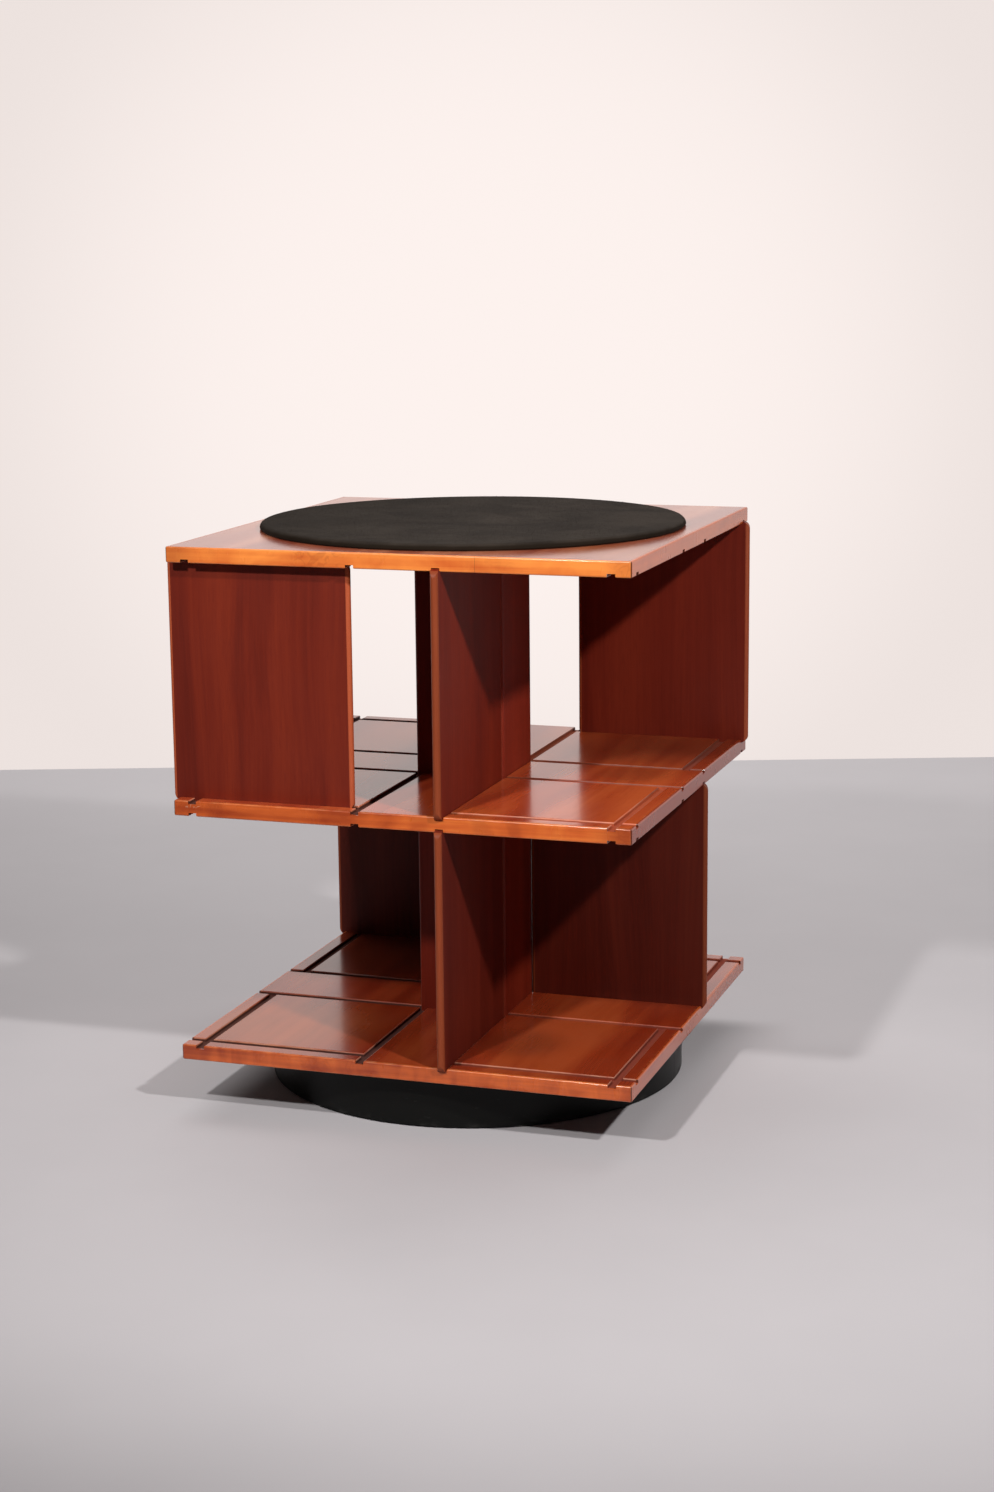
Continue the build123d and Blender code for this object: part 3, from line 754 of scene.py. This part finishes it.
ply = {
    "core": (0.36, 0.22, 0.11), "face": (0.52, 0.36, 0.20), "light": (0.66, 0.49, 0.30),
    "tones": ("core", "face", "light"), "stops": (0.1, 0.5, 0.9),
    "layer": 0.0030, "layerBand": (0.4, 0.6), "sideTurn": (0.3, 0.7, 1.0, 0.0),
    "figure": {"Band width": 0.06, "Line width": 0.02, "Fibre width": 0.003,
               "Run": 12.0, "Wander": 0.05, "Calm": 0.0, "Seed": 31.0},
    "dust": 0.25, "dustTone": (0.45, 0.43, 0.40), "rough": (0.2, 0.8, 0.55, 0.8),
    "bump": 0.2, "bumpReach": 0.0005,
}


def plyFinish():        # faces with grain, edges with layers that cross
    material, tree, shader, where = newMaterial("plywood_deck")
    place = where["Object"]
    figure = useGroup(tree, woodFigure, {"Place": alongGrain(tree, place, "X"), **ply["figure"]})
    level = calc(tree, "DIVIDE", axes(tree, place)[2], ply["layer"])
    layer = step(tree, calc(tree, "PINGPONG", level, 1.0), *ply["layerBand"])
    side = step(tree, calc(tree, "ABSOLUTE", axes(tree, where["Normal"])[2]), *ply["sideTurn"])
    colour = toneRamp(tree, figure["Tone"], ply["stops"], [ply[key] for key in ply["tones"]])
    colour = tint(tree, calc(tree, "MULTIPLY", layer, side), colour, ply["core"])
    colour = tint(tree, dustOn(tree, where, ply["dust"]), colour, ply["dustTone"])
    setShader(tree, shader, ply, colour, step(tree, figure["Fibre"], *ply["rough"]), figure["Height"])
    return material


nylon = {
    "base": (0.60, 0.57, 0.50), "grey": (0.33, 0.31, 0.28), "worn": 0.0015, "wornShare": 0.7,
    "blots": ((90.0, 3.0), (0.3, 0.7)), "blotShare": 0.25,
    "grit": (900.0, 2.0), "rough": (0.2, 0.8, 0.42, 0.6), "bump": 0.15, "bumpReach": 0.0003,
}


def nylonFinish():        # moulded, greyed where it slides
    material, tree, shader, where = newMaterial("moulded_nylon")
    place = where["Object"]
    sole = step(tree, axes(tree, place)[2], 0.0, nylon["worn"], 1.0, 0.0)
    grime = calc(tree, "MULTIPLY", blots(tree, place, *nylon["blots"]), nylon["blotShare"])
    grime = calc(tree, "MULTIPLY_ADD", sole, nylon["wornShare"], grime, clamp=True)
    grit = cloud(tree, place, *nylon["grit"])[0]
    colour = tint(tree, grime, nylon["base"], nylon["grey"])
    setShader(tree, shader, nylon, colour, step(tree, grit, *nylon["rough"]), grit)
    return material


steel = {
    "base": (0.52, 0.52, 0.51), "dull": (0.36, 0.36, 0.37),
    "bloom": (55.0, 4.0, 0.6, 0.5), "bloomBand": (0.3, 0.7),
    "oil": (0.20, 0.17, 0.12), "grease": ((35.0, 3.0, 0.6), (0.55, 0.8, 0.0, 0.35)),
    "marks": (3200.0, 2.0), "markRun": 0.5, "markDepth": 0.25,
    "threadPitch": 0.00175, "threadReach": (0.030, 0.028), "threadDepth": 2.0,
    "rough": (0.2, 0.8, 0.26, 0.46), "bump": 0.35, "bumpReach": 0.0005, "plain": {"Metallic": 1.0},
}


def steelFinish(name, threaded):        # zinc bloom and turning marks; the rod's ends have a thread
    material, tree, shader, where = newMaterial(name)
    place = where["Object"]
    across, depth, level = axes(tree, place)
    bloom = cloud(tree, place, *steel["bloom"])[0]
    radius = calcVector(tree, "LENGTH", calcVector(tree, "MULTIPLY", place, (1.0, 1.0, 0.0)))
    rings = joined(tree, radius, calc(tree, "MULTIPLY", level, steel["markRun"]))
    marks = cloud(tree, rings, *steel["marks"])[0]
    colour = tint(tree, step(tree, bloom, *steel["bloomBand"]), steel["base"], steel["dull"])
    colour = tint(tree, blots(tree, place, *steel["grease"]), colour, steel["oil"])
    height = calc(tree, "MULTIPLY", marks, steel["markDepth"])
    if threaded:
        low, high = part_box("tie_rod")
        lower = step(tree, level, *[low.z + reach for reach in steel["threadReach"]])
        upper = step(tree, level, *[high.z - reach for reach in steel["threadReach"]])
        turn = calc(tree, "DIVIDE", calc(tree, "ARCTAN2", depth, across), 2 * math.pi)
        turn = calc(tree, "ADD", turn, calc(tree, "DIVIDE", level, steel["threadPitch"]))
        screw = calc(tree, "MULTIPLY", calc(tree, "PINGPONG", turn, 0.5), calc(tree, "MAXIMUM", lower, upper))
        height = calc(tree, "MULTIPLY_ADD", screw, steel["threadDepth"], height)
    setShader(tree, shader, steel, colour, step(tree, bloom, *steel["rough"]), height)
    return material


dress(["plinth_wall"], plinthFinish())
dress(["plinth_deck"], plyFinish())
dress(["glides", "ball_cage"], nylonFinish())
dress(["inner_race", "outer_race", "balls", "inner_race_screws", "outer_race_screws", "bottom_nut",
       "bottom_washer", "top_washer", "top_nut"], steelFinish("zinc_steel", False))
dress(["tie_rod"], steelFinish("zinc_rod", True))
print("plinth and swivel dressed")


# Floor, light and camera

stage = {
    "turn": 19.25, "back": 1.985, "front": 1.8, "half": 2.3,        # the floor ends where a wall would stand
    "corner": 1.0, "cornerSteps": 16,
    "floor": (0.570, 0.535, 0.545), "shade": (0.545, 0.512, 0.522), "patches": ((1.6, 4.0, 0.6), (0.3, 0.7)),
    "plain": {"Roughness": 0.75, "Specular IOR Level": 0.2},
    "backdrop": (0.982, 0.888, 0.855), "glowTip": -3.0, "glowReach": 12.0, "glowFall": 0.86,
    "ambient": (0.95, 0.93, 0.92), "behind": (0.0, 0.7),
    "frontLight": 0.02, "backLight": 0.12, "mirrorLight": 0.10,        # polish mirrors a brighter front
}
wash = {"size": (5.0, 2.0), "height": 3.2, "back": 2.3, "spread": 150.0, "watts": 88.0}
lamps = {
    "lampRight": {
        "place": (1.80, -1.47, 1.98), "aim": (0.0, 0.0, 0.38), "watts": 192.0, "size": 0.06, "cone": 100.0},
    "lampLeft": {
        "place": (-0.35, -1.87, 1.77), "aim": (0.2, 0.0, 0.2), "watts": 122.0, "size": 0.06, "cone": 72.0},
}
eye = {
    "place": (1.124, -3.279, 1.135), "turn": 18.426, "tip": -11.383, "lean": -0.576,
    "lens": 64.05, "sensor": 36.0,
}


def addToScene(name, data):
    thing = bpy.data.objects.new(name, data)
    bpy.context.scene.collection.objects.link(thing)
    return thing


def layFloor():
    material, tree, shader, where = newMaterial("floor")
    patches = blots(tree, where["Object"], *stage["patches"])
    feed(tree, shader.inputs["Base Color"], tint(tree, patches, stage["floor"], stage["shade"]))
    setPlain(shader, stage["plain"])
    mesh = bpy.data.meshes.new("floor")
    half, front, back, corner = [stage[key] for key in ("half", "front", "back", "corner")]
    outline = []
    for quarter, (x, y) in enumerate(((half, back), (-half, back), (-half, -front), (half, -front))):
        hub = Vector((math.copysign(abs(x) - corner, x), math.copysign(abs(y) - corner, y), 0.0))
        for i in range(stage["cornerSteps"] + 1):
            turn = math.pi / 2 * (quarter + i / stage["cornerSteps"])
            outline.append(hub + corner * Vector((math.cos(turn), math.sin(turn), 0.0)))
    mesh.from_pydata(outline, [], [range(len(outline))])
    mesh.transform(Matrix.Rotation(math.radians(stage["turn"]), 4, "Z"))
    mesh.materials.append(material)
    floor = addToScene("floor", mesh)


def setWorld():        # a bright backdrop behind, a dim room in front, and a plain pale view for the camera
    world = bpy.data.worlds.new("studio")
    bpy.context.scene.world = world
    world.use_nodes = True
    tree = world.node_tree
    tree.nodes.clear()
    way = tree.nodes.new("ShaderNodeTexCoord").outputs["Generated"]
    turn = math.radians(stage["turn"])
    behind = calcVector(tree, "DOT_PRODUCT", way, (-math.sin(turn), math.cos(turn), 0.0))
    behind = step(tree, behind, *stage["behind"])
    gain = stage["backLight"] - stage["frontLight"]
    level = calc(tree, "MULTIPLY_ADD", behind, gain, stage["frontLight"])
    rays = tree.nodes.new("ShaderNodeLightPath").outputs
    ahead = calc(tree, "MULTIPLY", rays["Is Glossy Ray"], calc(tree, "SUBTRACT", 1.0, behind))
    level = calc(tree, "MULTIPLY_ADD", ahead, stage["mirrorLight"], level)
    ambient = putNode(tree, "ShaderNodeBackground", {0: opaque(stage["ambient"]), 1: level})
    heading = math.radians(eye["turn"])
    rise = math.radians(stage["glowTip"])
    middle = (-math.sin(heading) * math.cos(rise), math.cos(heading) * math.cos(rise), math.sin(rise))
    aligned = calcVector(tree, "DOT_PRODUCT", way, middle)        # the wall is brightest behind the piece
    glow = step(tree, aligned, math.cos(math.radians(stage["glowReach"])), 1.0, stage["glowFall"], 1.0)
    backdrop = putNode(tree, "ShaderNodeBackground", {0: opaque(stage["backdrop"]), 1: glow})
    seen = calc(tree, "MULTIPLY", rays["Is Glossy Ray"], behind)
    for ray in ("Is Transmission Ray", "Is Camera Ray"):
        seen = calc(tree, "MAXIMUM", seen, rays[ray])
    mixed = putNode(tree, "ShaderNodeMixShader", {0: seen, 1: ambient.outputs[0], 2: backdrop.outputs[0]})
    putNode(tree, "ShaderNodeOutputWorld", {0: mixed.outputs[0]})


def hangLamps():
    turn = math.radians(stage["turn"])
    light = bpy.data.lights.new("wash", "AREA")        # shines straight down on the far floor
    light.shape = "RECTANGLE"
    light.size, light.size_y = wash["size"]
    light.spread = math.radians(wash["spread"])
    light.energy = wash["watts"]
    rail = addToScene("wash", light)
    rail.location = (-math.sin(turn) * wash["back"], math.cos(turn) * wash["back"], wash["height"])
    rail.rotation_euler = (0.0, 0.0, turn)
    rail.visible_camera = False
    rail.visible_glossy = False
    for name, lamp in lamps.items():
        light = bpy.data.lights.new(name, "SPOT")
        light.spot_size = math.radians(lamp["cone"])
        light.spot_blend = 1.0
        light.shadow_soft_size = lamp["size"]
        light.energy = lamp["watts"]
        holder = addToScene(name, light)
        holder.location = lamp["place"]
        aim = Vector(lamp["aim"]) - Vector(lamp["place"])
        holder.rotation_euler = aim.to_track_quat("-Z", "Y").to_euler()


def setCamera():
    data = bpy.data.cameras.new("eye")
    data.lens = eye["lens"]
    data.sensor_width = eye["sensor"]
    turn, tip, lean = [math.radians(eye[key]) for key in ("turn", "tip", "lean")]
    aim = Matrix.Rotation(turn, 4, "Z") @ Matrix.Rotation(math.pi / 2 + tip, 4, "X")
    aim = aim @ Matrix.Rotation(lean, 4, "Z")
    camera = addToScene("eye", data)
    camera.matrix_world = Matrix.Translation(eye["place"]) @ aim
    bpy.context.scene.camera = camera


layFloor()
setWorld()
hangLamps()
setCamera()
bpy.context.scene.view_settings.view_transform = "Standard"
print("stage set")
